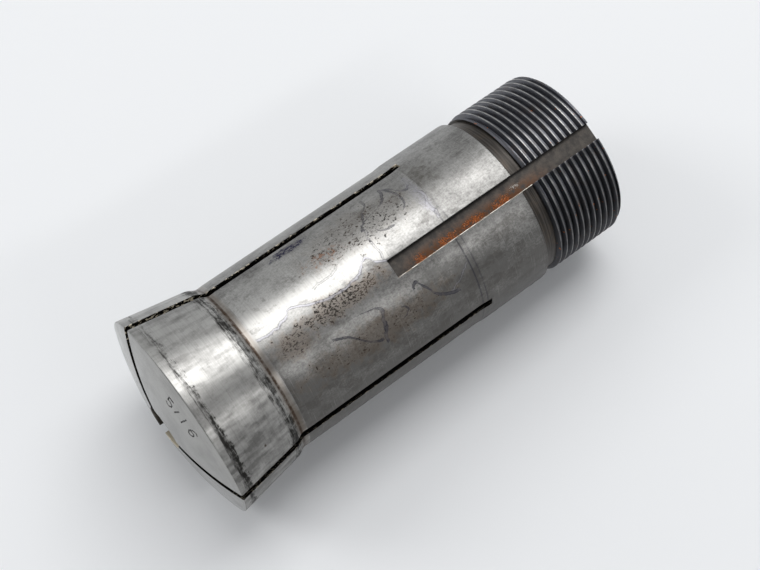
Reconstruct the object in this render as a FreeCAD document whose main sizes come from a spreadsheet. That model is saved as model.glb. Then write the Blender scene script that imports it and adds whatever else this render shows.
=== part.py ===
"""A 5C spring collet for a lathe spindle, turned from one bar of steel.

The collet stands on its threaded end: the axis is Z, the base is z = 0 and the work end is up.
The keyway faces -Y. Lengths are millimetres and angles are degrees.
"""

import FreeCAD, Part
import os

import Sketcher

V = FreeCAD.Vector
NODE = "collet"

# Driving dimensions: alias, value, what it measures
DIMENSIONS = [
    ("body_dia", "31.42", "ground body between the bearing and the neck"),
    ("bearing_dia", "31.75", "rear bearing that the spindle bore guides, 1.25 inch"),
    ("bearing_start", "16.95", "height of the bearing's rear edge"),
    ("bearing_length", "13.55", "length of the bearing up to its step down to the body"),
    ("bearing_edge", "0.15", "break on the bearing's rear edge"),
    ("thread_dia", "31.45", "major diameter of the draw thread, 1.238 inch"),
    ("thread_depth", "0.78", "depth of the draw thread on one side"),
    ("relief_length", "2.5", "length of the groove where the thread runs out"),
    ("relief_clearance", "0.04", "how far that groove lies below the thread's root"),
    ("end_chamfer", "0.65", "chamfer at the start of the draw thread"),
    ("rim_dia", "37.12", "head at its rim"),
    ("rim_height", "82.0", "height of the rim where taper and face meet"),
    ("rim_edge", "0.2", "break on the rim"),
    ("taper_angle", "10.0", "half of the head's closing taper"),
    ("taper_length", "12.3", "length of the closing taper along the axis"),
    ("neck_length", "2.9", "length of the neck from the taper to the body"),
    ("neck_slope", "1.5", "part of the neck that slopes in from the taper"),
    ("neck_depth", "0.1", "how far the neck lies below the body"),
    ("crown_height", "3.0", "rise of the crowned face above the rim"),
    ("bore_dia", "7.94", "work bore, five sixteenths of an inch"),
    ("bore_length", "22.0", "length of the work bore up to the top of the crown"),
    ("hollow_dia", "25.3", "hollow behind the work bore"),
    ("tapping_dia", "25.3", "root bore of the stop thread inside the rear end"),
    ("tapping_length", "14.0", "depth of the stop thread from the rear face"),
    ("tapping_relief", "26.8", "diameter of the groove where the stop thread runs out"),
    ("tapping_groove", "2.0", "width of that groove"),
    ("hollow_cone", "45.0", "half angle of the cone from the hollow to the bore"),
    ("mouth_chamfer", "0.8", "chamfer at the rear mouth of the stop thread"),
    ("slot_width", "1.5", "width of each spring slot"),
    ("slot_start", "29.3", "height at which the slots end"),
    ("slot_count", "3", "number of slots, evenly spaced"),
    ("keyway_width", "3.175", "width of the keyway, one eighth of an inch"),
    ("keyway_depth", "1.6", "depth of the keyway below the bearing"),
    ("keyway_end", "42.6", "height of the keyway's square end"),
    ("cut_margin", "2.0", "how far each cut runs past the metal"),
]

# What follows from the driving dimensions: alias, formula
DERIVED = [
    ("body_rad", "=body_dia / 2"),
    ("bearing_rad", "=bearing_dia / 2"),
    ("bearing_edge_rad", "=bearing_rad - bearing_edge"),
    ("bearing_edge_top", "=bearing_start + bearing_edge"),
    ("bearing_top", "=bearing_start + bearing_length"),
    ("thread_rad", "=thread_dia / 2"),
    ("thread_root", "=thread_rad - thread_depth"),
    ("thread_top", "=bearing_start - relief_length"),
    ("relief_rad", "=thread_root - relief_clearance"),
    ("chamfer_rad", "=thread_rad - end_chamfer"),
    ("rim_rad", "=rim_dia / 2"),
    ("face_rad", "=rim_rad - rim_edge"),
    ("rim_low", "=rim_height - rim_edge"),
    ("taper_low", "=rim_height - taper_length"),
    ("taper_rad", "=rim_rad - (rim_low - taper_low) * tan(taper_angle * 1deg)"),
    ("neck_rad", "=body_rad - neck_depth"),
    ("neck_top", "=taper_low - neck_slope"),
    ("neck_low", "=taper_low - neck_length"),
    ("crown_top", "=rim_height + crown_height"),
    ("crown_rad", "=(face_rad * face_rad + crown_height * crown_height) / (2 * crown_height)"),
    ("crown_centre", "=crown_top - crown_rad"),
    ("bore_rad", "=bore_dia / 2"),
    ("bore_low", "=crown_top - bore_length"),
    ("hollow_rad", "=hollow_dia / 2"),
    ("hollow_top", "=bore_low - (hollow_rad - bore_rad) / tan(hollow_cone * 1deg)"),
    ("tapping_rad", "=tapping_dia / 2"),
    ("groove_rad", "=tapping_relief / 2"),
    ("groove_top", "=tapping_length + tapping_groove"),
    ("mouth_rad", "=tapping_rad + mouth_chamfer"),
    ("cut_top", "=crown_top + cut_margin"),
    ("cut_reach", "=rim_rad + cut_margin"),
    ("slot_side", "=slot_width / 2"),
    ("key_side", "=keyway_width / 2"),
    ("key_floor", "=bearing_rad - keyway_depth"),
]


def make_sheet(doc):
    """Writes the driving dimensions and what follows from them into one spreadsheet."""
    sheet = doc.addObject("Spreadsheet::Sheet", "dims")
    for row, (alias, value, meaning) in enumerate(DIMENSIONS, start=1):
        sheet.set(f"A{row}", meaning)
        sheet.set(f"B{row}", value)
        sheet.setAlias(f"B{row}", alias)
    for row, (alias, formula) in enumerate(DERIVED, start=len(DIMENSIONS) + 2):
        sheet.setAlias(f"B{row}", alias)
    for row, (alias, formula) in enumerate(DERIVED, start=len(DIMENSIONS) + 2):
        sheet.set(f"B{row}", formula)
    doc.recompute()
    return sheet


def value(sheet, name):
    """The sheet's value of a name, of its negative, or of the word zero."""
    if name == "zero":
        return 0.0
    if name.startswith("-"):
        return -value(sheet, name[1:])
    number = getattr(sheet, name)
    return float(getattr(number, "Value", number))


def sketch_on(body, role, name):
    """A sketch that lies flat on one of the body's own origin planes."""
    sketch = body.newObject("Sketcher::SketchObject", name)
    home = next(item for item in body.Origin.OriginFeatures if item.Role == role)
    sketch.AttachmentSupport = (home, [""])
    sketch.MapMode = "FlatFace"
    return sketch


def pin(sketch, sheet, geometry, point, across, up):
    """Ties one point of a sketch to two named sizes, measured from the sketch's origin."""
    for axis, kind, name in ((-2, "DistanceX", across), (-1, "DistanceY", up)):
        if name == "zero":
            sketch.addConstraint(Sketcher.Constraint("PointOnObject", geometry, point, axis))
            continue
        size = value(sheet, name)
        number = sketch.addConstraint(Sketcher.Constraint(kind, -1, 1, geometry, point, size))
        formula = "-dims." + name[1:] if name.startswith("-") else "dims." + name
        sketch.setExpression(f"Constraints[{number}]", formula)


def draw_outline(sketch, sheet, corners, arcs=None):
    """Draws a closed outline through named corners.

    arcs gives, for the edge that starts at a corner's number, the height of the centre on
    the axis: that edge is an arc, and every other edge is straight.
    """
    arcs = arcs or {}
    spots = [V(value(sheet, across), value(sheet, up), 0) for across, up in corners]
    count = len(spots)
    for here in range(count):
        start, end = spots[here], spots[(here + 1) % count]
        if here in arcs:
            centre = V(0, value(sheet, arcs[here]), 0)
            swing = [(spot - centre).getAngle(V(1, 0, 0)) for spot in (start, end)]
            circle = Part.Circle(centre, V(0, 0, 1), (start - centre).Length)
            sketch.addGeometry(Part.ArcOfCircle(circle, *swing), False)
        else:
            sketch.addGeometry(Part.LineSegment(start, end), False)
    for here, (across, up) in enumerate(corners):
        after = (here + 1) % count
        sketch.addConstraint(Sketcher.Constraint("Coincident", here, 2, after, 1))
        pin(sketch, sheet, here, 1, across, up)
    for here in arcs:
        sketch.addConstraint(Sketcher.Constraint("PointOnObject", here, 3, -2))


def cut(body, kind, sketch, name, **settings):
    """Adds a cutting feature and makes sure that it takes metal away."""
    before = body.Shape.Volume
    feature = body.newObject(kind, name)
    feature.Profile = sketch
    for key, setting in settings.items():
        if isinstance(setting, str) and setting.startswith("dims."):
            feature.setExpression(key, setting)
        else:
            setattr(feature, key, setting)
    body.Document.recompute()
    if body.Shape.Volume > before - 1.0:
        raise RuntimeError(f"{name} takes no metal away: {before} {body.Shape.Volume} {feature.State} {feature.getStatusString()}")
    return feature


def turn_blank(body, sheet):
    """Turns the outside: thread blank, relief, bearing, body, neck, taper and crowned face."""
    sketch = sketch_on(body, "XZ_Plane", "outside")
    corners = [
        ("zero", "zero"),
        ("chamfer_rad", "zero"),
        ("thread_rad", "end_chamfer"),
        ("thread_rad", "thread_top"),
        ("relief_rad", "thread_top"),
        ("relief_rad", "bearing_start"),
        ("bearing_edge_rad", "bearing_start"),
        ("bearing_rad", "bearing_edge_top"),
        ("bearing_rad", "bearing_top"),
        ("body_rad", "bearing_top"),
        ("body_rad", "neck_low"),
        ("neck_rad", "neck_low"),
        ("neck_rad", "neck_top"),
        ("taper_rad", "taper_low"),
        ("rim_rad", "rim_low"),
        ("face_rad", "rim_height"),
        ("zero", "crown_top"),
    ]
    draw_outline(sketch, sheet, corners, {15: "crown_centre"})
    blank = body.newObject("PartDesign::Revolution", "blank")
    blank.Profile = sketch
    blank.ReferenceAxis = (sketch, ["V_Axis"])
    blank.Angle = 360.0
    body.Document.recompute()


def bore_out(body, sheet):
    """Bores the stop thread's root, its groove, the hollow, its cone and the work bore."""
    sketch = sketch_on(body, "XZ_Plane", "inside")
    corners = [
        ("zero", "zero"),
        ("mouth_rad", "zero"),
        ("tapping_rad", "mouth_chamfer"),
        ("tapping_rad", "tapping_length"),
        ("groove_rad", "tapping_length"),
        ("groove_rad", "groove_top"),
        ("hollow_rad", "groove_top"),
        ("hollow_rad", "hollow_top"),
        ("bore_rad", "bore_low"),
        ("bore_rad", "cut_top"),
        ("zero", "cut_top"),
    ]
    draw_outline(sketch, sheet, corners)
    axis = (sketch, ["V_Axis"])
    cut(body, "PartDesign::Groove", sketch, "bores", ReferenceAxis=axis, Angle=360.0)


def mill_keyway(body, sheet):
    """Mills the keyway from the threaded end up to its square end."""
    sketch = sketch_on(body, "XY_Plane", "keyway_form")
    corners = [
        ("-key_side", "-cut_reach"),
        ("key_side", "-cut_reach"),
        ("key_side", "-key_floor"),
        ("-key_side", "-key_floor"),
    ]
    draw_outline(sketch, sheet, corners)
    cut(body, "PartDesign::Pocket", sketch, "keyway", Length="dims.keyway_end", Reversed=True)


def saw_slots(body, sheet):
    """Saws one spring slot from the face down, opposite the keyway, and repeats it round the axis."""
    sketch = sketch_on(body, "XZ_Plane", "slot_form")
    corners = [
        ("-slot_side", "slot_start"),
        ("slot_side", "slot_start"),
        ("slot_side", "cut_top"),
        ("-slot_side", "cut_top"),
    ]
    draw_outline(sketch, sheet, corners)
    slot = cut(body, "PartDesign::Pocket", sketch, "slot", Length="dims.cut_reach")
    ring = body.newObject("PartDesign::PolarPattern", "slots")
    ring.Originals = [slot]
    ring.Axis = (sketch, ["V_Axis"])
    ring.Angle = 360.0
    ring.setExpression("Occurrences", "dims.slot_count")
    body.Tip = ring
    body.Document.recompute()


def check(doc, body):
    """Stops if any object failed or the solid isn't one whole, valid piece."""
    for item in doc.Objects:
        if "Invalid" in item.State or "Error" in item.State:
            raise RuntimeError(f"{item.Name} failed: {item.State}")
    if body.Shape.isNull() or not body.Shape.isValid():
        raise RuntimeError(f"{body.Label} isn't a valid shape")
    if len(body.Shape.Solids) != 1:
        raise RuntimeError(f"{body.Label} has {len(body.Shape.Solids)} solids")


def main():
    doc = FreeCAD.newDocument("spring_collet")
    sheet = make_sheet(doc)
    body = doc.addObject("PartDesign::Body", NODE)
    body.Label = NODE
    doc.recompute()
    turn_blank(body, sheet)
    bore_out(body, sheet)
    saw_slots(body, sheet)
    mill_keyway(body, sheet)
    body.Placement = FreeCAD.Placement(V(0, 0, 0), FreeCAD.Rotation())
    doc.recompute()
    check(doc, body)
    os.makedirs("parts", exist_ok=True)
    body.Shape.exportStep(f"parts/{body.Label}.step")
    box = body.Shape.BoundBox
    print(f"{body.Label}: {box.XLength:.2f} x {box.YLength:.2f} x {box.ZLength:.2f} mm")
    print(f"volume {body.Shape.Volume / 1000:.2f} cm3")


main()
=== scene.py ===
import math

import bmesh
import bpy
import numpy as np
from mathutils import Matrix, Vector


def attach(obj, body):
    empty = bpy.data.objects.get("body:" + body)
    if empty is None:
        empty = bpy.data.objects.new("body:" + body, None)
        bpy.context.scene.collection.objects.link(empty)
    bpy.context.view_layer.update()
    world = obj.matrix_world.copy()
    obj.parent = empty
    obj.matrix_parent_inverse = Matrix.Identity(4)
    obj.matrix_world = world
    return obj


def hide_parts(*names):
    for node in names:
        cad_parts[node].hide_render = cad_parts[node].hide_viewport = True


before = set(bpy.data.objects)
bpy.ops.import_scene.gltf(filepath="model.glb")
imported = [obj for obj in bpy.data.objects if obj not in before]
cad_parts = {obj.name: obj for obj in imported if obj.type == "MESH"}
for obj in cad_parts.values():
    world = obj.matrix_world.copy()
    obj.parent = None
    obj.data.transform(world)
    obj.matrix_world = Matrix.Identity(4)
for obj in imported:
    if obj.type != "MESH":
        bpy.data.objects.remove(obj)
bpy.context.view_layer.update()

bl_info = {
    "name": "5C Lathe Collet",
    "version": (1, 0, 0),
    "blender": (4, 5, 0),
    "location": "3D View > Sidebar > Collet",
    "description": "A slotted spring collet in worn ground steel, with its stage",
    "category": "Add Mesh",
}

MM = 0.001

# ---------------------------------------------------------------- the turned section, in mm (radius, height)
KEY_FLOOR = 14.275          # the keyway's flat floor stands this far from the axis
KEY_HALF = 3.175 / 2
KEY_END = 42.6
SLOT_HALF = 1.5 / 2
SLOT_START = 29.3
SLOT_ANGLES = (60.0, 180.0, 300.0)   # from the keyway, counter-clockwise seen from the head
THREAD_TOP = 14.45
CROWN_CENTRE = 85.0 - (18.36 ** 2 + 9.0) / 6.0
CROWN_RADIUS = 85.0 - CROWN_CENTRE
BORE = 3.97
HOLLOW = 12.65
BEARING = 15.875
BODY = 15.71
RELIEF = 14.905
DRAW_CREST_AT, DRAW_CREST, DRAW_ROOT = 14.09, 15.72, 14.95     # height of one crest, and the thread's two radii
STOP_CREST_AT, STOP_CREST, STOP_ROOT = 13.6, HOLLOW + 0.005, 13.20
STOP_FLAT = 0.14
RUNOUT = 13.4               # groove where the stop thread's tap runs out
NECK_END = 69.7             # the closing taper starts here
HEAD_RIM = 18.56
TAPER_LENGTH = 12.1
TAPER = math.radians(10)
NEARLY = 1e-6
UNROLL_RADIUS = 15.8        # the stains' places are mm along an arc of this radius


def linear(hex_colour):
    """An sRGB hex colour as linear RGBA."""
    parts = [int(hex_colour[i:i + 2], 16) / 255 for i in (0, 2, 4)]
    return tuple(c / 12.92 if c <= 0.04045 else ((c + 0.055) / 1.055) ** 2.4 for c in parts) + (1.0,)


def colour_property(name, description, hex_colour):
    """A colour that the user can change."""
    return bpy.props.FloatVectorProperty(
        name=name, description=description, subtype="COLOR", size=4, min=0, max=1, default=linear(hex_colour))


class ColletSizes(bpy.types.PropertyGroup):
    """Sizes that only the visual model has."""
    draw_pitch: bpy.props.FloatProperty(
        name="Draw thread pitch", description="Rise of the outer thread in one turn, in mm", default=1.27, min=0.6,
            max=3)
    stop_pitch: bpy.props.FloatProperty(
        name="Stop thread pitch", description="Rise of the inner thread in one turn, in mm", default=1.058, min=0.6,
            max=3)
    edge: bpy.props.FloatProperty(
        name="Slot edge", description="Width of the broken edge beside the slots, in mm", default=0.05, min=0.02,
            max=0.3)
    key_edge: bpy.props.FloatProperty(
        name="Keyway edge", description="Width of the rubbed edge beside the keyway, in mm", default=0.08, min=0.02,
            max=0.3)
    columns: bpy.props.IntProperty(
        name="Columns", description="Mesh columns in a 120 degree jaw", default=62, min=24, max=120)
    stamp_depth: bpy.props.FloatProperty(
        name="Stamp depth", description="Depth of the size stamped on the face, in mm", default=0.13, min=0, max=0.4)


class ColletColours(bpy.types.PropertyGroup):
    """Colours of the steel and of what has settled on it; some also serve as painted light and shade."""
    bright: colour_property("Bright steel", "Bare steel on rubbed edges", "B9B6AF")
    ground: colour_property("Ground steel", "Clean ground steel", "A8A7A4")
    # dull steel also carries the dark reflection painted on the lower side, through the dirt mask
    dull: colour_property("Dull steel", "Steel that handling has dulled", "686765")
    dried: colour_property("Dried water", "Film inside a tide-line", "98979E")
    tide: colour_property("Tide-line", "Edge of dried water on the body", "3A3940")
    heat: colour_property("Blue stain", "Purple-blue stain by a slot", "22203A")
    reddish: colour_property("Reddish stain", "First rust on the body", "8A6A58")
    brown: colour_property("Brown varnish", "Varnish of old oil", "655646")
    stepped: colour_property("Bearing dark cloud", "Dark cloud on the bearing beside the step", "57544F")
    varnish: colour_property("Pale varnish", "Oil varnish between the pits", "86786A")
    floor: colour_property("Keyway floor", "Milled steel under old oil", "625C56")
    # also painted over the body's lower side as dark reflection
    black: colour_property("Blackened steel and dark reflection", "Oil-black on threads", "4A4744")
    oiled: colour_property("Oiled thread", "Oil-black in the thread's flanks", "5A5B60")
    # pale colour painted as glints in the slots and as light inside the bore's mouth
    painted_light: colour_property("Painted pale light", "Pale dust inside the bore's mouth", "CFC5AF")
    pit: colour_property("Pits", "Brown-black pits of old rust", "3A2C22")
    # also painted as shadow in the keyway and as dark reflection on the thread's lower side
    grime_and_painted_shade: colour_property("Grime and painted shade", "Dried oil and dirt", "171513")
    rust_brown: colour_property("Brown rust", "Flat rust in the keyway", "8A5A36")
    rust_pale: colour_property("Pale rust", "Loose grains on the rust", "E3A67C")
    rust: colour_property("Orange rust", "Fresh rust in the keyway", "C06E33")


class StageSettings(bpy.types.PropertyGroup):
    """The ground that the collet leans on and the light."""
    floor: colour_property("Ground", "Colour of the plain ground", "F2F3F4")
    surround: colour_property("Tent", "Colour of the light tent", "DFE1E3")
    room: colour_property("Room", "Colour of the dim side behind the camera", "86878A")
    key: bpy.props.FloatProperty(name="Key light", description="Power of the large lamp", default=1.75, min=0,
        unit="POWER")
    side: bpy.props.FloatProperty(name="Side light", description="Power of the lamp on the head's side", default=0.6,
        min=0, unit="POWER")
    fill: bpy.props.FloatProperty(name="Fill light", description="Power of the narrow lamp", default=0.5, min=0,
        unit="POWER")


# ---------------------------------------------------------------- mesh
def thread_form(height, angle, pitch, crest_at, crest, root, flat=0.17, root_flat=0.20):
    """Radius of a V thread: crest within flat of a crest's middle, root midway between two, straight flanks."""
    turn = (height - crest_at) / pitch - angle / 360.0
    off = np.abs(turn - np.round(turn)) * pitch
    flank_end = pitch / 2 - root_flat / 2
    t = np.clip((off - flat / 2) / (flank_end - flat / 2), 0, 1)
    return crest + (root - crest) * t


def helix_rows(pitch, crest_at, low, high, angles, flat=0.17, root_flat=0.20):
    """Heights of rows that follow a thread, one array per row, held between low and high."""
    phases = [-flat / 2, flat / 2, (pitch / 2 - root_flat / 2 + flat / 2) / 2, pitch / 2 - root_flat / 2,
              pitch / 2 + root_flat / 2, pitch - (pitch / 2 - root_flat / 2 + flat / 2) / 2]
    rows = []
    first = math.floor((low - crest_at) / pitch) - 2
    last = math.ceil((high - crest_at) / pitch) + 1
    for turn in range(first, last + 1):
        for phase in phases:
            rows.append(np.clip(crest_at + (turn + angles / 360.0) * pitch + phase, low, high))
    return rows


class Section:
    """The closed outline of the collet as rows of (radius, height) for every column, with a finish for each strip."""

    def __init__(self, angles):
        self.angles = angles
        self.radius, self.height, self.finish, self.edge, self.lean = [], [], [], [], []

    def row(self, radius, height, finish, edge=1.0, lean=None):
        """One row. finish is that of the strip that follows it; lean is the outward normal in (radius, height)."""
        ones = np.ones_like(self.angles)
        self.radius.append(ones * radius)
        self.height.append(ones * height)
        self.finish.append(finish)
        self.edge.append(edge)
        self.lean.append(lean)

    def arrays(self):
        radius, height = np.array(self.radius), np.array(self.height)
        normal = np.zeros(radius.shape + (2,))
        count = len(self.lean)
        for j in range(count):
            if self.lean[j] is not None:
                normal[j] = self.lean[j]
                continue
            before, after = (j - 1) % count, (j + 1) % count
            d = np.stack([radius[after] - radius[before], height[after] - height[before]], axis=-1)
            n = np.stack([d[:, 1], -d[:, 0]], axis=-1)
            normal[j] = n / np.maximum(np.linalg.norm(n, axis=-1, keepdims=True), 1e-9)
        return radius, height, normal


FINISHES = ["thread", "relief", "bearing", "body", "neck", "taper", "face", "bore", "hollow", "rear", "slot", "keyway",
    "edge"]


def collet_section(angles, sizes):
    """Rows from the rear face up the outside, over the crown and down the bore."""
    s = Section(angles)
    out, inward = (1.0, 0.0), (-1.0, 0.0)
    # outer thread, run out on the end chamfer and on a small chamfer at the relief
    for z in helix_rows(sizes.draw_pitch, DRAW_CREST_AT, 0.0, THREAD_TOP, angles):
        r = thread_form(z, angles, sizes.draw_pitch, DRAW_CREST_AT, DRAW_CREST, DRAW_ROOT)
        r = np.minimum(np.minimum(r, 15.075 + z), 15.33 + (THREAD_TOP - z))
        s.row(r, z, "thread", 1.0, out)
    s.finish[-1] = "relief"
    outside = [
        ("relief", [(RELIEF, z) for z in (14.45, 14.6, 15.6, 16.8)] + [(14.955, 16.95)]),
        ("bearing", [(15.70, 16.95), (15.865, 17.10)]
            + [(BEARING, z) for z in (17.22, 20, 24, 28, SLOT_START - sizes.edge, SLOT_START, 29.8)]
            + [(15.868, 30.0), (15.845, 30.25), (15.765, 30.95)]),
        ("body", [(15.73, 31.3), (15.714, 31.6)]
            + [(BODY, z) for z in (31.9, 34, 38, KEY_END, KEY_END + sizes.key_edge, 47, 52, 57, 62, 66.6)]
            + [(15.70, 66.9)]),
        ("neck", [(15.675, 67.15), (15.655, 67.5), (15.65, 67.9), (15.67, 68.15), (15.74, 68.4), (15.87, 68.7),
                  (16.05, 69.0), (16.23, 69.32), (16.37, 69.62)]),
    ]
    for finish, profile in outside:
        for r, z in profile:
            s.row(r, z, finish, 1.0, out)
    slope = math.tan(TAPER)
    base = HEAD_RIM - TAPER_LENGTH * slope
    for z, drop in ((69.9, 0.012), (70.2, 0.0), (72, 0), (74.5, 0), (77, 0), (79.5, 0), (81.2, 0), (81.68, 0)):
        s.row(base + (z - NECK_END) * slope - drop, z, "taper", 1.0, (math.cos(TAPER), -math.sin(TAPER)))
    s.row(18.55, 81.80, "taper", 1.0, (0.92, 0.38))
    s.row(18.49, 81.90, "face", 1.0, (0.7, 0.7))
    for r in [18.34] + list(np.linspace(18.0, 4.6, 30)) + [4.25, 4.12]:
        s.row(r, CROWN_CENTRE + math.sqrt(CROWN_RADIUS ** 2 - r ** 2), "face", 1.0,
              (r / CROWN_RADIUS, math.sqrt(1 - (r / CROWN_RADIUS) ** 2)))
    mouth = CROWN_CENTRE + math.sqrt(CROWN_RADIUS ** 2 - BORE ** 2)
    s.row(4.02, mouth - 0.03, "bore", 0.6, (-0.6, 0.8))
    for z in (mouth - 0.14, mouth - 0.3, 80, 75, 70, 66, 63.15):
        s.row(BORE, z, "bore", 0.5, inward)
    for r, z in [(BORE + 0.05, 63.0), (6, 60.97), (8, 58.97), (10, 56.97), (12.5, 54.47), (HOLLOW, 54.2)]:
        s.row(r, z, "hollow", 0.0, (-0.7, -0.7))
    for z in (48, 42, 36, SLOT_START, 24, 20, 16.2, 16.0):
        s.row(HOLLOW, z, "hollow", 0.0, inward)
    for z in (16.0, 15.85, 14.15, 14.0):
        s.row(RUNOUT, z, "hollow", 0.0, inward)
    for z in reversed(helix_rows(sizes.stop_pitch, STOP_CREST_AT, 0.0, 14.0, angles, STOP_FLAT, STOP_FLAT)):
        r = thread_form(z, angles, sizes.stop_pitch, STOP_CREST_AT, STOP_CREST, STOP_ROOT, STOP_FLAT, STOP_FLAT)
        r = np.maximum(np.maximum(r, 13.45 - z), 13.0 - (14.0 - z))
        s.row(r, z, "hollow", 0.0, inward)
    s.finish[-1] = "rear"
    return s


def column_plan(sizes):
    """Every column as (centre angle, offset in mm) pairs to blend: (left, right, share), with a role."""
    e, b, h, k = sizes.edge, sizes.key_edge, SLOT_HALF, KEY_HALF
    marks = [(0, 0, "floor"), (0, 0.55, "floor"), (0, 1.1, "floor"), (0, k, "key_wall"), (0, k + b, "key_edge")]
    for index, angle in enumerate(SLOT_ANGLES):
        marks += [(angle, -h - e, "slot_edge"), (angle, -h, "slot_wall"), (angle, 0, "slot_mid"),
                  (angle, h, "slot_wall"), (angle, h + e, "slot_edge")]
    marks += [(360, -k - b, "key_edge"), (360, -k, "key_wall"), (360, -1.1, "floor"), (360, -0.55, "floor"),
        (360, 0, "floor")]
    plan = []
    for left, right in zip(marks, marks[1:]):
        plan.append((left, left, 0.0, left[2]))
        gap = right[0] - left[0]
        if gap > 1:
            inner = sizes.columns if gap > 100 else sizes.columns // 2 + 2
            for i in range(1, inner):
                plan.append((left, right, i / inner, "plain"))
    plan.append((marks[-1], marks[-1], 0.0, marks[-1][2]))
    return plan


def column_angle(column, radius):
    """Angle from the keyway of a column at each radius, in degrees."""
    left, right, share, _ = column
    a = left[0] + np.degrees(np.arcsin(np.clip(left[1] / radius, -1, 1)))
    b = right[0] + np.degrees(np.arcsin(np.clip(right[1] / radius, -1, 1)))
    return a + (b - a) * share


# ---------------------------------------------------------------- the stamped size
# Strokes of a plain hand stamp, in mm about each figure's middle: (right, up).
STROKES = {
    "5": [(0.62, 1.15), (-0.45, 1.15), (-0.52, 0.15), (0.1, 0.32), (0.6, -0.05), (0.62, -0.7), (0.15, -1.12),
          (-0.35, -1.08), (-0.65, -0.75)],
    "/": [(-0.23, -0.8), (0.23, 0.8)],
    "1": [(0.0, -1.15), (0.0, 1.15)],
    "6": [(0.5, 0.95), (0.1, 1.15), (-0.35, 0.9), (-0.6, 0.2), (-0.6, -0.6), (-0.2, -1.12), (0.25, -1.1),
          (0.6, -0.65), (0.5, -0.1), (0.1, 0.15), (-0.4, 0.0), (-0.6, -0.4)],
}
# Each figure with its place: (figure, x of its middle, distance of its middle from the axis), in mm.
STAMP = [("5", 2.68, 14.0), ("/", 0.82, 14.0), ("1", -0.92, 14.2), ("6", -3.2, 14.5)]


def stamp_segments():
    """The stamp's strokes as pairs of points (x, y) on the face, in mm. Figures stand with their tops to the rim."""
    segments = []
    for figure, x, r in STAMP:
        angle = math.asin(x / r)
        up = np.array([math.sin(angle), -math.cos(angle)])
        right = np.array([-math.cos(angle), -math.sin(angle)])
        middle = up * r
        points = [middle + right * u + up * v for u, v in STROKES[figure]]
        segments += list(zip(points, points[1:]))
    return segments


def distance_to_segments(points, segments):
    """Distance of each point (x, y) to the nearest stroke."""
    best = np.full(len(points), 1e9)
    for a, b in segments:
        d = b - a
        t = np.clip(((points - a) @ d) / (d @ d), 0, 1)
        best = np.minimum(best, np.linalg.norm(points - (a + t[:, None] * d), axis=1))
    return best


def press_stamp(bm, depth):
    """Divides the face under the stamp, presses the strokes into it, and marks them in the point value stamp."""
    worn = bm.verts.layers.float.new("stamp")
    face_slot = FINISHES.index("face")
    segments = stamp_segments()
    under = []
    for face in bm.faces:
        if face.material_index != face_slot or len(face.verts) != 4:
            continue
        c = face.calc_center_median() / MM
        if -5.2 < c.x < 4.4 and 12.2 < math.hypot(c.x, c.y) < 16.0 and c.y < 0:
            under.append(face)
    edges = list({edge for face in under for edge in face.edges})
    bmesh.ops.subdivide_edges(bm, edges=edges, cuts=5, use_grid_fill=True)
    near = [v for v in bm.verts if v.co.z > 82.2 * MM and v.co.y < 0 and 12.0 * MM < v.co.xy.length < 16.3 * MM
            and -5.5 * MM < v.co.x < 4.7 * MM]
    points = np.array([(v.co.x / MM, v.co.y / MM) for v in near])
    away = distance_to_segments(points, segments)
    for vert, d in zip(near, away):
        r = vert.co.xy.length / MM
        top = CROWN_CENTRE + math.sqrt(CROWN_RADIUS ** 2 - r ** 2)
        if abs(vert.co.z / MM - top) > 0.06:
            continue
        t = min(max((d - 0.06) / 0.13, 0.0), 1.0)
        pressed = 1 - t * t * (3 - 2 * t)
        vert.co.z = (top - depth * pressed) * MM
        vert[worn] = pressed


# ---------------------------------------------------------------- materials
# settings that most nodes of a kind share; a call states its own where it differs
USUAL = {"Math": {"operation": "MULTIPLY"}, "MapRange": {"interpolation_type": "SMOOTHSTEP"},
         "Mix": {"data_type": "RGBA"}}


def node(tree, kind, inputs=(), **settings):
    """Adds a shader node, sets its properties, and fills or links its inputs: a list in order, a dict by name or number.
    A node given as an input is linked by its first output that is in use."""
    made = tree.nodes.new("ShaderNode" + kind)
    for key, value in {**USUAL.get(kind, {}), **settings}.items():
        setattr(made, key, value)
    for key, value in inputs.items() if isinstance(inputs, dict) else enumerate(inputs):
        if isinstance(value, bpy.types.Node):
            value = next(output for output in value.outputs if output.enabled)
        if isinstance(value, bpy.types.NodeSocket):
            tree.links.new(value, made.inputs[key])
        else:
            made.inputs[key].default_value = value
    return made


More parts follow.
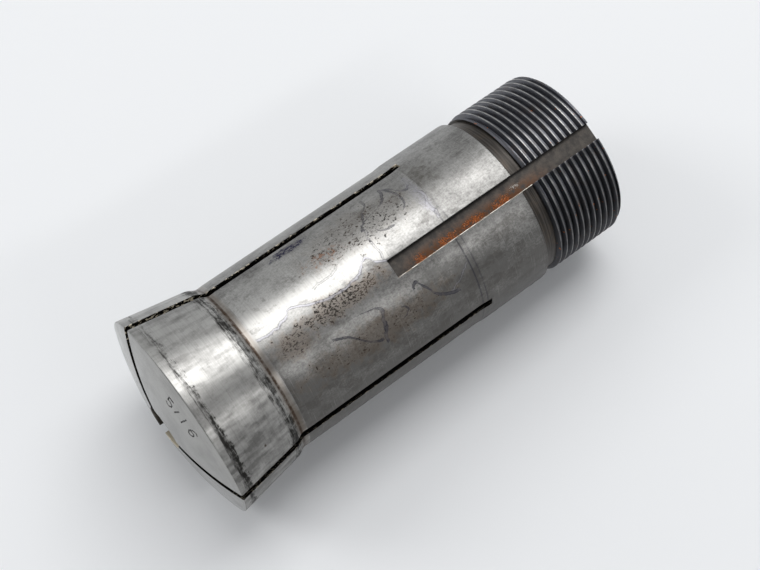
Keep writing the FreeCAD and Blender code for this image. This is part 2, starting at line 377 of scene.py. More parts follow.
class Steel:
    """One steel finish being built: a material with its tree, coordinates in mm and shader."""

    def __init__(self, name):
        self.material = bpy.data.materials.new(name)
        self.material.use_nodes = True
        tree = self.tree = self.material.node_tree
        tree.nodes.clear()
        self.out = node(tree, "OutputMaterial")
        place = node(tree, "TexCoord").outputs["Object"]
        self.mm = node(tree, "VectorMath", {0: place, "Scale": 1000.0}, operation="SCALE").outputs[0]
        parts = node(tree, "SeparateXYZ", {0: self.mm}).outputs
        self.x, self.y, self.z = parts[0], parts[1], parts[2]
        back = node(tree, "Math", [self.y, -1.0])
        turn = node(tree, "Math", [self.x, back], operation="ARCTAN2")
        self.arc = node(tree, "Math", [turn, UNROLL_RADIUS])     # mm round the body from the keyway's middle
        self.radius = node(tree, "Math", [node(tree, "Math", [node(tree, "Math", [self.x, self.x]),
            node(tree, "Math", [self.y, self.y])], operation="ADD")], operation="SQRT")
        # the same mm as arc on the keyway's half, running back to 0 on the far half, so that it has no seam there
        lean = node(tree, "Math", [node(tree, "Math", [self.x, self.radius], operation="DIVIDE")], operation="ARCSINE")
        self.side = node(tree, "Math", [lean, UNROLL_RADIUS])
        self.unrolled = node(tree, "CombineXYZ", {0: self.arc, 1: self.z}).outputs[0]

    def spot(self, arc, height, half_arc, half_height, ragged=0.0, low=0.6, high=1.0):
        """A patch on the unrolled surface, 1 inside and 0 outside; ragged moves its edge with a noise 0..1."""
        tree = self.tree
        place = node(tree, "Mapping", {
            0: self.unrolled, "Scale": (1 / half_arc, 1 / half_height, 1),
            "Location": (-arc / half_arc, -height / half_height, 0)}).outputs[0]
        away = node(tree, "VectorMath", {0: place}, operation="LENGTH").outputs["Value"]
        return node(tree, "MapRange", [node(tree, "Math", [away, ragged], operation="ADD"), low, high, 1.0, 0.0])

    def noise(self, size, detail=3.0, rough=0.55, stretch=(1, 1, 1), shift=0.0):
        """Noise 0..1 whose features are about size mm across, stretched along each axis."""
        place = node(self.tree, "Mapping", {0: self.mm, "Location": (shift, shift * 0.7, shift * 1.3),
                                        "Scale": tuple(1 / (size * s) for s in stretch)}).outputs[0]
        return node(self.tree, "TexNoise", {"Vector": place, "Scale": 1.0, "Detail": detail,
                                        "Roughness": rough}).outputs["Fac"]

    def drawn(self, along, across, points, width):
        """A band through points (along, across) in mm, its two thin edges, and what lies above it, as masks.
        width is half the band's breadth."""
        tree = self.tree
        start, end = points[0][0], points[-1][0]
        lows = min(p[1] for p in points) - 1.0
        highs = max(p[1] for p in points) + 1.0
        share = node(tree, "MapRange", [along, start, end], interpolation_type="LINEAR")
        curve = node(tree, "FloatCurve", {"Value": share})
        line = curve.mapping.curves[0]
        spots = [((a - start) / (end - start), (b - lows) / (highs - lows)) for a, b in points]
        line.points[0].location, line.points[1].location = spots[0], spots[-1]
        for spot in spots[1:-1]:
            line.points.new(*spot)
        curve.mapping.update()
        wanted = node(tree, "MapRange", [curve.outputs[0], 0.0, 1.0, lows, highs], interpolation_type="LINEAR")
        gap = node(tree, "Math", [node(tree, "Math", [across, wanted], operation="SUBTRACT")], operation="ABSOLUTE")
        inside = node(tree, "Math", [node(tree, "Math", [along, start], operation="GREATER_THAN"),
            node(tree, "Math", [along, end], operation="LESS_THAN")])
        band = node(tree, "Math", [node(tree, "MapRange", [gap, width * 0.7, width * 1.2, 1.0, 0.0]), inside])
        rim = node(tree, "Math", [node(tree, "Math", [gap, width], operation="SUBTRACT")], operation="ABSOLUTE")
        rims = node(tree, "Math", [node(tree, "MapRange", [rim, 0.03, 0.12, 1.0, 0.0]), inside])
        above = node(tree, "Math", [
            node(tree, "MapRange", [node(tree, "Math", [across, wanted], operation="SUBTRACT"), -0.1, 0.1]), inside])
        return band, rims, above

    def finish(self, colour, roughness, bump, distance=0.02, metallic=1.0, anisotropic=0.0):
        """Joins colour, roughness and relief in the shader. distance is the relief's height in mm."""
        tree = self.tree
        normal = node(tree, "Bump", {"Strength": 1.0, "Distance": distance * MM, "Height": bump}).outputs[0]
        inputs = {"Base Color": colour, "Metallic": metallic, "Roughness": roughness, "Normal": normal}
        if anisotropic:
            inputs["Anisotropic"] = anisotropic
            inputs["Tangent"] = node(tree, "Tangent", direction_type="RADIAL", axis="Z").outputs[0]
        shader = node(tree, "BsdfPrincipled", inputs)
        tree.links.new(shader.outputs[0], self.out.inputs["Surface"])
        return self.material


def ground_body(colours):
    """Cylindrically ground tool steel, handled and stained: fine rings, tide-lines of dried water, pits and dirt, and a
    lower side darkened partly by dirt and partly as painted dark reflection.
    """
    s = Steel("ground_tool_steel_body")
    t = s.tree
    # grinding rings are about 0.05 mm apart; drawn at 0.2 mm so that they show
    rings = s.noise(0.2, 3, 0.6, (60, 60, 1))
    scratches = s.noise(0.14, 2, 0.5, (28, 28, 1), 3)
    cloud = s.noise(6.0, 4, 0.62, (1, 1, 2.2), 11)
    mottle = s.noise(1.5, 4, 0.7, shift=14)
    grit = s.noise(0.28, 4, 0.75, (1, 1, 1.6), 19)
    grain = s.noise(0.3, 4, 0.7, (1, 1, 1.5), 5)
    coarse = s.noise(0.5, 3, 0.6, (1, 1, 1.3), 25)
    wobble = node(t, "Math", [node(t, "Math", [mottle, 0.5], operation="SUBTRACT"), 1.1])
    arc = node(t, "Math", [s.arc, wobble], operation="ADD")
    height = node(t, "Math", [s.z, wobble], operation="ADD")

    # tide-lines, as (height, arc) or (arc, height) in mm on the unrolled body, with half the breadth, and how pale
    # its band
    # and how dark its edges are
    lines = [
        (height, arc, [(41.8, 0.9), (42.6, 1.7), (44.3, 2.6), (45.3, 4.0), (46.1, 3.4), (47.5, 2.6), (49.8, 1.9),
                       (52.1, 1.8), (54.2, 2.0), (57.0, 2.9), (59.0, 3.9), (60.1, 4.2), (60.9, 3.3), (62.3, 3.1),
                       (64.4, 2.6), (67.2, 2.8)], 0.2, 0.6, 0.5),
        (arc, height, [(2.1, 43.0), (3.8, 42.6), (5.9, 42.7), (7.6, 42.3), (8.8, 42.3)], 0.17, 0.15, 0.45),
        (arc, height, [(8.1, 42.6), (8.8, 42.3), (9.5, 41.2), (10.0, 39.4), (10.4, 37.4), (12.2, 35.8),
                       (13.8, 35.4)], 0.22, 0.1, 0.9),
        (arc, height, [(9.4, 41.5), (11.1, 40.5), (12.4, 39.1), (14.0, 39.0)], 0.15, 0.0, 0.8),
        (height, arc, [(49.4, 5.7), (50.3, 5.2), (51.5, 4.9), (53.2, 4.9), (55.1, 4.7)], 0.14, 0.0, 0.4),
        (height, arc, [(31.1, 14.6), (31.3, 12.0), (31.9, 10.4), (33.1, 10.8), (33.9, 12.2),
                       (34.9, 13.3)], 0.15, 0.2, 0.7),
        (arc, height, [(7.3, 34.7), (8.5, 34.0), (9.9, 33.7), (11.3, 34.1), (12.6, 34.7),
                       (13.8, 35.5)], 0.14, 0.1, 0.8),
        (arc, height, [(-9.8, 49.2), (-7.9, 48.8), (-6.0, 48.2), (-4.4, 47.7), (-3.7, 48.3), (-3.2, 49.8),
                       (-2.8, 53.0)], 0.25, 0.1, 0.95),
        (height, arc, [(49.6, -8.8), (51.0, -8.4), (51.9, -7.8), (53.0, -6.7), (53.8, -5.8), (54.6, -5.0),
                       (55.6, -4.5), (57.2, -3.9)], 0.14, 0.0, 0.95),
        (height, arc, [(34.3, -9.5), (35.9, -9.1), (37.3, -8.4), (38.5, -7.4), (39.2, -6.0), (40.0, -4.8),
                       (40.6, -3.8), (41.6, -4.6)], 0.24, 0.1, 0.95),
        (height, arc, [(31.4, -6.1), (32.8, -7.1), (34.2, -8.1), (35.8, -8.9)], 0.2, 0.2, 0.4),
        (arc, height, [(2.6, 31.2), (4.1, 31.1), (5.7, 31.2), (7.2, 30.6), (9.0, 31.4)], 0.24, 0.3, 0.5),
        (height, arc, [(37.9, 6.0), (39.6, 6.1), (40.7, 6.9)], 0.1, 0.0, 0.7),
        (arc, height, [(-7.9, 45.2), (-7.2, 44.0), (-6.4, 43.9), (-5.8, 44.6)], 0.12, 0.0, 0.8),
    ]
    pale = marks = 0.0
    washed = None
    for along, across, points, width, pale_band, dark_edge in lines:
        band, rim, above = s.drawn(along, across, points, width)
        pale = node(t, "Math", [pale, node(t, "Math", [band, pale_band])], operation="MAXIMUM")
        marks = node(t, "Math", [marks, node(t, "Math", [rim, dark_edge])], operation="MAXIMUM")
        if dark_edge > 0.6:
            marks = node(t, "Math", [marks, node(t, "Math", [band, dark_edge * 0.7])], operation="MAXIMUM")
        washed = above if washed is None else washed
    faint = node(t, "MapRange", [mottle, 0.35, 0.58, 0.45, 1.0])
    marks = node(t, "Math", [marks, faint])

    # dull and dirty all over but in the zone that the long tide-line bounds; darker towards the lower side, partly dirt
    # and partly painted dark reflection
    low_dirt_and_painted_reflection = node(t, "MapRange", [s.side, -9.5, 3.0, 1.15, 0.3])
    dirt_and_painted_reflection = node(t, "Math", [low_dirt_and_painted_reflection, node(t, "MapRange", [s.side, 11.0, 15.0, 0.0, 0.6])], operation="MAXIMUM")
    dirt_and_painted_reflection = node(t, "Math", [node(t, "Math", [dirt_and_painted_reflection, 0.75]),
        node(t, "MapRange", [cloud, 0.35, 0.72, 0.0, 0.55])], operation="ADD")
    dirt_and_painted_reflection = node(t, "Math", [dirt_and_painted_reflection, node(t, "MapRange", [mottle, 0.42, 0.7, -0.06, 0.1])], operation="ADD")
    dirt_and_painted_reflection = node(t, "Math", [dirt_and_painted_reflection, node(t, "MapRange", [grit, 0.4, 0.65, -0.14, 0.2])], operation="ADD")
    stained = node(t, "MapRange", [node(t, "Math",
        [s.noise(2.2, 5, 0.75, (1, 1, 1.8), 28), node(t, "Math", [low_dirt_and_painted_reflection, 0.1])], operation="ADD"),
        0.56, 0.72, 0.0, 0.5])
    dirt_and_painted_reflection = node(t, "Math", [dirt_and_painted_reflection, node(t, "Math",
        [node(t, "Math", [washed, node(t, "MapRange", [s.arc, 11.5, 5.0])]), 0.6])], operation="SUBTRACT",
        use_clamp=True)
    colour = node(t, "Mix", {0: dirt_and_painted_reflection, 6: colours.ground, 7: colours.dull})
    # painted dark reflection: the body's lower side is mixed towards black
    colour = node(t, "Mix", {0: node(t, "MapRange", [s.side, -13.0, -5.0, 0.35, 0.0]), 6: colour, 7: colours.black})
    colour = node(t, "Mix", {0: stained, 6: colour, 7: colours.black})
    colour = node(t, "Mix", {0: node(t, "MapRange", [rings, 0.35, 0.7, 0.0, 0.14]), 6: colour, 7: colours.black})
    colour = node(t, "Mix", {0: node(t, "MapRange", [scratches, 0.6, 0.75, 0.0, 0.22]), 6: colour, 7: colours.ground})

    # brown varnish and dense pits beside the tide-line
    ragged = node(t, "MapRange", [mottle, 0.3, 0.7, -0.45, 0.45], interpolation_type="LINEAR")
    field = s.spot(0.5, 52.5, 2.3, 10.5, ragged, 0.5, 1.05)
    low_field = s.spot(-0.8, 62.5, 3.0, 4.5, ragged, 0.4, 1.1)
    upper = s.spot(9.2, 43.0, 4.6, 11.5, ragged, 0.6, 1.15)
    red = s.spot(8.3, 50.5, 1.9, 4.2, ragged, 0.3, 1.0)
    lower = s.spot(-7.5, 50.0, 3.5, 18.0, ragged, 0.4, 1.1)
    colour = node(t, "Mix", {
        0: node(t, "Math", [node(t, "Math", [field, low_field], operation="MAXIMUM"), 0.5]), 6: colour,
        7: colours.varnish})
    colour = node(t, "Mix", {0: node(t, "Math", [
        node(t, "Math", [lower, node(t, "Math", [upper, 0.45])], operation="MAXIMUM"), 0.35]), 6: colour,
            7: colours.brown})
    specks = node(t, "MapRange", [s.noise(0.5, 2, 0.6, shift=16), 0.5, 0.62])
    colour = node(t, "Mix", {
        0: node(t, "Math", [red, node(t, "Math", [specks, 0.85])]), 6: colour,
        7: colours.reddish})
    dense = node(t, "Math", [node(t, "Math", [field, 0.232]), node(t, "Math", [low_field, 0.2])], operation="MAXIMUM")
    dense = node(t, "Math", [dense, node(t, "Math", [node(t, "Math", [lower, 0.13]),
        node(t, "Math", [upper, 0.145])], operation="MAXIMUM")], operation="MAXIMUM")
    pits = node(t, "MapRange", [node(t, "Math", [grain, dense], operation="ADD"), 0.71, 0.78])
    large = node(t, "Math", [node(t, "Math", [upper, node(t, "Math", [lower, 0.75])], operation="MAXIMUM"), 0.19])
    pits = node(t, "Math", [pits, node(t, "MapRange", [node(t, "Math", [coarse, large], operation="ADD"), 0.76, 0.83])],
        operation="MAXIMUM")
    colour = node(t, "Mix", {0: node(t, "Math", [pits, 0.85]), 6: colour,
        7: node(t, "Mix", {0: node(t, "MapRange", [cloud, 0.4, 0.6]), 6: colours.grime_and_painted_shade, 7: colours.pit})})

    colour = node(t, "Mix", {0: pale, 6: colour, 7: colours.dried})
    colour = node(t, "Mix", {0: marks, 6: colour, 7: colours.tide})
    # two faint dark lines where the bearing steps down to the body, stronger towards the lower side
    for height_of, strength in ((30.1, 0.5), (31.05, 0.7)):
        line = node(t, "MapRange", [
            node(t, "Math", [node(t, "Math", [s.z, height_of], operation="SUBTRACT")], operation="ABSOLUTE"), 0.05, 0.2,
            strength, 0.0])
        line = node(t, "Math", [line, node(t, "Math", [faint, node(t, "MapRange", [s.side, -1.0, 6.0, 1.0, 0.25])])])
        colour = node(t, "Mix", {0: line, 6: colour, 7: colours.tide})
    blue = node(t, "Math", [s.spot(14.0, 53.8, 1.1, 3.6, ragged, 0.5, 1.1),
        node(t, "MapRange", [grain, 0.42, 0.52, 0.25, 0.95])])
    colour = node(t, "Mix", {0: blue, 6: colour, 7: colours.heat})

    # the bearing's own dark cloud, cut off at the step, and a pale film on the body's side of it
    smudge = node(t, "MapRange", [s.noise(1.1, 5, 0.75, (1, 1, 1.4), 33), 0.38, 0.6, 0.25, 0.85])
    cloud_dark = node(t, "Math", [s.spot(11.2, 29.3, 4.6, 4.6, ragged, 0.1, 1.2), smudge])
    cloud_dark = node(t, "Math", [cloud_dark, node(t, "MapRange", [s.z, 30.1, 30.4, 1.0, 0.0])])
    colour = node(t, "Mix", {0: cloud_dark, 6: colour, 7: colours.stepped})
    film = node(t, "Math", [s.spot(8.0, 31.3, 6.5, 1.3, ragged, 0.5, 1.0), node(t, "MapRange", [s.z, 30.3, 30.5])])
    film = node(t, "Math", [film, node(t, "MapRange", [grain, 0.4, 0.6, 0.1, 0.5])])
    colour = node(t, "Mix", {0: film, 6: colour, 7: colours.dried})
    rough = node(t, "Math", [node(t, "MapRange", [dirt_and_painted_reflection, 0.0, 1.0, 0.29, 0.37]),
        node(t, "Math", [pits, 0.25])], operation="ADD")
    rough = node(t, "Math", [rough, node(t, "Math", [marks, 0.15])], operation="ADD")
    relief = node(t, "Math", [node(t, "Math", [rings, 0.45]), node(t, "Math", [pits, 1.6])], operation="SUBTRACT")
    relief = node(t, "Math", [relief, node(t, "Math", [marks, 0.4])], operation="ADD")
    return s.finish(colour, rough, relief, 0.010, anisotropic=0.45)


def ground_taper(colours):
    """The head's closing cone, ground and rubbed by the spindle: bright land at the rim, black mottling behind, and
    bands along the cone that are partly rubbing and partly painted reflection.
    """
    s = Steel("ground_tool_steel_taper")
    t = s.tree
    rings = s.noise(0.25, 3, 0.65, (80, 80, 1))
    rub_and_reflection_streaks = s.noise(1.8, 3, 0.6, (1, 1, 14), 7)      # rubbed along the cone, and partly painted reflection: bright and dark bands along the axis
    cloud = s.noise(5.0, 4, 0.6, shift=31)
    mottle = s.noise(1.1, 4, 0.75, shift=34)
    smear = s.noise(0.35, 4, 0.75, (9, 9, 1), 37)
    # darker towards the lower side, partly dirt and partly painted dark reflection
    low_dirt_and_painted_reflection = node(t, "MapRange", [s.side, -11.0, 2.0, 1.0, 0.0])
    dirt_and_painted_reflection = node(t, "Math", [node(t, "Math", [low_dirt_and_painted_reflection, 0.5]),
        node(t, "MapRange", [cloud, 0.35, 0.7, 0.0, 0.4])], operation="ADD")
    dirt_and_painted_reflection = node(t, "Math", [dirt_and_painted_reflection, node(t, "MapRange", [rub_and_reflection_streaks, 0.35, 0.65, -0.2, 0.3])], operation="ADD")
    dirt_and_painted_reflection = node(t, "Math", [dirt_and_painted_reflection, node(t, "MapRange", [mottle, 0.4, 0.7, -0.05, 0.2])], operation="ADD",
        use_clamp=True)
    colour = node(t, "Mix", {0: dirt_and_painted_reflection, 6: colours.ground, 7: colours.dull})
    colour = node(t, "Mix", {0: node(t, "MapRange", [rings, 0.35, 0.7, 0.0, 0.18]), 6: colour, 7: colours.black})
    # the black band behind the rim's bright land, and the one at the neck
    drift = node(t, "Math", [node(t, "Math", [mottle, 0.5], operation="SUBTRACT"), 1.6])
    height = node(t, "Math", [s.z, drift], operation="ADD")
    side = node(t, "MapRange", [s.side, -8.0, 10.0, 1.0, 0.6])
    rim_band = node(t, "Math", [node(t, "MapRange", [
        node(t, "Math", [node(t, "Math", [height, 80.1], operation="SUBTRACT")], operation="ABSOLUTE"), 0.2, 1.1, 1.0,
            0.0]),
        side])
    neck_band = node(t, "MapRange", [
        node(t, "Math", [node(t, "Math", [height, 69.7], operation="SUBTRACT")], operation="ABSOLUTE"), 0.2, 2.0, 1.12,
            0.0])
    neck_band = node(t, "Math", [neck_band, node(t, "MapRange", [cloud, 0.35, 0.6, 0.6, 1.0])])
    worn = node(t, "Math", [node(t, "Math", [smear, 0.65]), node(t, "Math", [mottle, 0.35])], operation="ADD")
    bands = node(t, "Math", [node(t, "Math", [rim_band, neck_band], operation="MAXIMUM"),
        node(t, "MapRange", [worn, 0.38, 0.62, -0.75, 0.25], interpolation_type="LINEAR")], operation="ADD")
    bands = node(t, "Math", [node(t, "MapRange", [bands, 0.05, 0.95]), 0.92])
    colour = node(t, "Mix", {0: bands, 6: colour, 7: colours.grime_and_painted_shade})
    brown = node(t, "MapRange", [
        node(t, "Math", [node(t, "Math", [s.z, 68.1], operation="SUBTRACT")], operation="ABSOLUTE"), 0.3, 1.2, 0.45,
            0.0])
    colour = node(t, "Mix", {0: brown, 6: colour, 7: colours.brown})
    line = node(t, "MapRange", [node(t, "Math", [node(t, "Math", [s.z, 68.3], operation="SUBTRACT")],
        operation="ABSOLUTE"),
        0.1, 0.38, 0.9, 0.0])
    colour = node(t, "Mix", {
        0: node(t, "Math", [line, node(t, "MapRange", [mottle, 0.35, 0.55, 0.55, 1.0])]), 6: colour,
        7: colours.pit})
    pit = s.spot(-11.1, 74.9, 0.3, 0.26, 0.0, 0.4, 1.1)
    colour = node(t, "Mix", {0: node(t, "Math", [pit, 0.8]), 6: colour, 7: colours.pit})
    rough = node(t, "Math", [node(t, "MapRange", [dirt_and_painted_reflection, 0.0, 1.0, 0.29, 0.37]),
        node(t, "Math", [bands, 0.2])], operation="ADD")
    relief = node(t, "Math", [node(t, "Math", [rings, 0.45]),
        node(t, "Math", [node(t, "Math", [pit, bands], operation="MAXIMUM"), 0.7])],
        operation="SUBTRACT")
    return s.finish(colour, rough, relief, 0.010, anisotropic=0.45)


def polished_face(colours):
    """The crowned face, fine turned and polished: nearly a mirror, with faint rings and the stamp's strokes dark."""
    s = Steel("polished_tool_steel_face")
    t = s.tree
    cloud = s.noise(4.0, 4, 0.6, shift=41)
    scuff = s.noise(0.3, 2, 0.5, (6, 1, 1), 43)
    stamp = node(t, "Attribute", attribute_name="stamp").outputs["Fac"]
    turned = node(t, "CombineXYZ", {0: node(t, "Math", [s.radius, 4.0])}).outputs[0]
    rings = node(t, "TexNoise", {"Vector": turned, "Scale": 1.0, "Detail": 4.0, "Roughness": 0.7}).outputs["Fac"]
    colour = node(t, "Mix", {0: node(t, "MapRange", [cloud, 0.35, 0.72, 0.05, 0.3]), 6: colours.ground,
        7: colours.dull})
    colour = node(t, "Mix", {0: node(t, "MapRange", [rings, 0.4, 0.65, 0.0, 0.28]), 6: colour, 7: colours.dull})
    colour = node(t, "Mix", {0: node(t, "MapRange", [scuff, 0.62, 0.75, 0.0, 0.3]), 6: colour, 7: colours.dull})
    pit = node(t, "Math", [0.35,
        node(t, "VectorMath", {0: s.mm, 1: (8.56, -0.99, 84.35)}, operation="DISTANCE").outputs["Value"]],
        operation="GREATER_THAN")
    colour = node(t, "Mix", {0: pit, 6: colour, 7: colours.grime_and_painted_shade})
    colour = node(t, "Mix", {0: node(t, "MapRange", [stamp, 0.25, 0.7]), 6: colour, 7: colours.grime_and_painted_shade})
    return s.finish(colour, node(t, "MapRange", [cloud, 0.3, 0.7, 0.15, 0.24]), rings, 0.004)


def blackened_thread(colours):
    """Single-point cut thread, oil blackened, with crests rubbed bright by the drawbar; crests dimmer and the thread
    darker towards the lower side as painted dark reflection.
    """
    s = Steel("blackened_steel_thread")
    t = s.tree
    cloud = s.noise(2.0, 4, 0.65, shift=51)
    grit = s.noise(0.5, 3, 0.7, shift=53)
    crest = node(t, "MapRange", [s.radius, 15.65, 15.71])
    worn = node(t, "Math", [crest, node(t, "MapRange", [cloud, 0.35, 0.6, 0.95, 0.35])])
    # crests dimmer towards the lower side: painted dark reflection
    worn = node(t, "Math", [worn, node(t, "MapRange", [s.side, -12.0, 1.0, 0.4, 1.0])])
    colour = node(t, "Mix", {0: node(t, "MapRange", [cloud, 0.5, 0.75, 0.0, 0.35]), 6: colours.oiled, 7: colours.brown})
    # darker towards the lower side: painted dark reflection
    colour = node(t, "Mix", {0: node(t, "MapRange", [s.side, -12.0, 1.0, 0.45, 0.0]), 6: colour, 7: colours.grime_and_painted_shade})
    colour = node(t, "Mix", {0: worn, 6: colour, 7: colours.ground})
    red = node(t, "Math", [node(t, "MapRange", [s.noise(0.7, 2, 0.5, shift=57), 0.71, 0.75]), 0.7])
    colour = node(t, "Mix", {0: red, 6: colour, 7: colours.rust})
    return s.finish(colour, node(t, "MapRange", [grit, 0.3, 0.7, 0.28, 0.44]), grit, 0.012)


def milled_keyway(colours):
    """Milled slot floor and sides, brown-grey with old oil, with orange rust along the lower side and a painted shadow
    along the upper side.
    """
    s = Steel("milled_steel_keyway")
    t = s.tree
    cloud = s.noise(1.2, 4, 0.7, shift=61)
    grit = s.noise(0.22, 3, 0.7, shift=63)
    arcs = s.noise(0.3, 3, 0.6, (1, 1, 0.35), 66)
    colour = node(t, "Mix", {0: node(t, "MapRange", [cloud, 0.35, 0.7]), 6: colours.black, 7: colours.floor})
    colour = node(t, "Mix", {0: node(t, "MapRange", [arcs, 0.55, 0.75, 0.0, 0.25]), 6: colour, 7: colours.dull})
    # painted shadow of the upper wall on the keyway's floor
    shade = node(t, "MapRange", [s.x, 0.95, 1.5, 0.0, 0.85])
    colour = node(t, "Mix", {0: shade, 6: colour, 7: colours.grime_and_painted_shade})
    # rust along the lower side, thick in three clusters
    reach = node(t, "Math", [node(t, "MapRange", [s.z, 8.0, 18.0]), node(t, "MapRange", [s.z, 42.0, 36.0])])
    stain = node(t, "Math", [node(t, "Math", [reach, node(t, "MapRange", [s.x, 0.9, -1.2])]),
        node(t, "MapRange", [cloud, 0.34, 0.56])])
    clusters = 0.0
    for middle, half in ((31.5, 3.2), (26.5, 3.6), (20.5, 3.0), (37.5, 1.6)):
        one = node(t, "MapRange", [
            node(t, "Math", [node(t, "Math", [s.z, middle], operation="SUBTRACT")], operation="ABSOLUTE"), half * 0.3,
                half,
            0.24, 0.0])
        clusters = node(t, "Math", [clusters, one], operation="MAXIMUM")
    thick = node(t, "Math", [node(t, "Math", [grit, node(t, "Math", [cloud, 0.35])], operation="ADD"),
        clusters], operation="ADD")
    thick = node(t, "Math", [thick, node(t, "MapRange", [s.x, 0.7, -1.0, -0.28, 0.0])], operation="ADD")
    crust = node(t, "Math", [reach, node(t, "MapRange", [thick, 0.86, 0.95])])
    colour = node(t, "Mix", {0: node(t, "Math", [stain, 0.65]), 6: colour, 7: colours.rust_brown})
    grains = s.noise(0.16, 2, 0.6, shift=68)
    colour = node(t, "Mix", {
        0: node(t, "Math", [crust, node(t, "MapRange", [grains, 0.4, 0.55, 0.55, 1.0])]), 6: colour,
        7: node(t, "Mix", {0: node(t, "MapRange", [grains, 0.55, 0.66]), 6: colours.rust, 7: colours.rust_pale})})
    scrape = node(t, "Math", [s.spot(-0.2, 17.0, 0.5, 1.6, node(t, "MapRange", [grit, 0.3, 0.7, -0.5, 0.5]), 0.3, 0.7),
        node(t, "MapRange", [arcs, 0.48, 0.56])])
    colour = node(t, "Mix", {0: scrape, 6: colour, 7: colours.bright})
    flat = node(t, "MapRange", [node(t, "Math", [crust, stain], operation="MAXIMUM"), 0, 1, 0.42, 0.85])
    relief = node(t, "Math", [node(t, "Math", [grit, 0.4]), crust], operation="ADD")
    return s.finish(colour, flat, relief, 0.03, metallic=0.6)


def sawn_slot(colours):
    """Slot walls left by a slitting saw: black with oil, with pale specks and a tick at the slot's end painted as
    glints, and brown along the lips.
    """
    s = Steel("sawn_steel_slot")
    t = s.tree
    cloud = s.noise(1.0, 4, 0.7, shift=71)
    saw = s.noise(0.3, 3, 0.6, (1, 1, 2.2), 73)
    lip = node(t, "MapRange", [s.radius, 15.3, 15.6])
    # painted glint: a pale tick where the slot ends
    painted_burr_glint = node(t, "Math", [node(t, "MapRange", [s.z, 29.6, 30.1, 1.0, 0.0]), node(t, "MapRange", [s.x, 12.9, 13.2])])
    colour = node(t, "Mix", {0: node(t, "MapRange", [cloud, 0.5, 0.8, 0.0, 0.6]), 6: colours.grime_and_painted_shade, 7: colours.brown})
    # painted glints: pale specks near the lips, weaker towards the lower side
    painted_glint = node(t, "Math", [node(t, "MapRange", [saw, 0.54, 0.58]), painted_burr_glint], operation="MAXIMUM")
    painted_glint = node(t, "Math", [painted_glint, node(t, "Math", [lip, node(t, "MapRange", [s.side, -10.0, 0.0, 0.25, 1.0])])])
    colour = node(t, "Mix", {0: painted_glint, 6: colour, 7: colours.painted_light})
    return s.finish(colour, 0.42, saw, 0.02, metallic=node(t, "MapRange", [painted_glint, 0, 1, 0.85, 0.3]))


def bored_inside(colours):
    """Bored, reamed and tapped inside: oiled, dull, with turning rings."""
    s = Steel("bored_steel_inside")
    t = s.tree
    rings = s.noise(0.3, 3, 0.6, (40, 40, 1))
    colour = node(t, "Mix", {0: node(t, "MapRange", [s.noise(4.0, 4, 0.6, shift=81), 0.35, 0.7]), 6: colours.dull,
        7: colours.floor})
    # a pale patch painted where light falls just inside the mouth on one side, fading darker into the bore as painted
    # shade
    mouth = node(t, "Math", [node(t, "MapRange", [s.z, 82.5, 84.0]), node(t, "MapRange", [s.x, 0.5, -1.0])])
    colour = node(t, "Mix", {0: mouth, 6: colour, 7: colours.painted_light})
    return s.finish(colour, 0.38, rings, 0.02, metallic=node(t, "MapRange", [mouth, 0, 1, 1.0, 0.1]))


def turned_relief(colours):
    """Turned undercut and rear face, dark grey-brown where oil has dried."""
    s = Steel("turned_steel_relief")
    t = s.tree
    rings = s.noise(0.25, 3, 0.6, (40, 40, 1))
    cloud = s.noise(2.5, 4, 0.65, shift=91)
    colour = node(t, "Mix", {0: node(t, "MapRange", [cloud, 0.4, 0.75, 0.0, 0.4]), 6: colours.black, 7: colours.brown})
    colour = node(t, "Mix", {0: node(t, "MapRange", [rings, 0.4, 0.6, 0.5, 0.0]), 6: colour, 7: colours.grime_and_painted_shade})
    return s.finish(colour, 0.42, rings, 0.02)


def turned_rear(colours):
    """The faced rear end, dull and oily, rubbed grey on its high rings."""
    s = Steel("turned_steel_rear_face")
    t = s.tree
    rings = node(t, "TexNoise", {"Vector": node(t, "CombineXYZ", {0: node(t, "Math", [s.radius, 5.0])}).outputs[0],
        "Scale": 1.0, "Detail": 3.0}).outputs["Fac"]
    colour = node(t, "Mix", {0: node(t, "MapRange", [s.noise(3.0, 4, 0.6, shift=97), 0.35, 0.7]), 6: colours.dull,
        7: colours.black})
    return s.finish(colour, 0.4, rings, 0.012)


def broken_edge(colours):
    """The rubbed bright edge beside the keyway."""
    s = Steel("rubbed_steel_edge")
    t = s.tree
    colour = node(t, "Mix", {0: node(t, "MapRange", [s.noise(1.0, 3, 0.6, shift=95), 0.4, 0.6, 0.1, 0.9]),
        6: colours.bright, 7: colours.brown})
    return s.finish(colour, 0.32, s.noise(0.3, 3), 0.01)


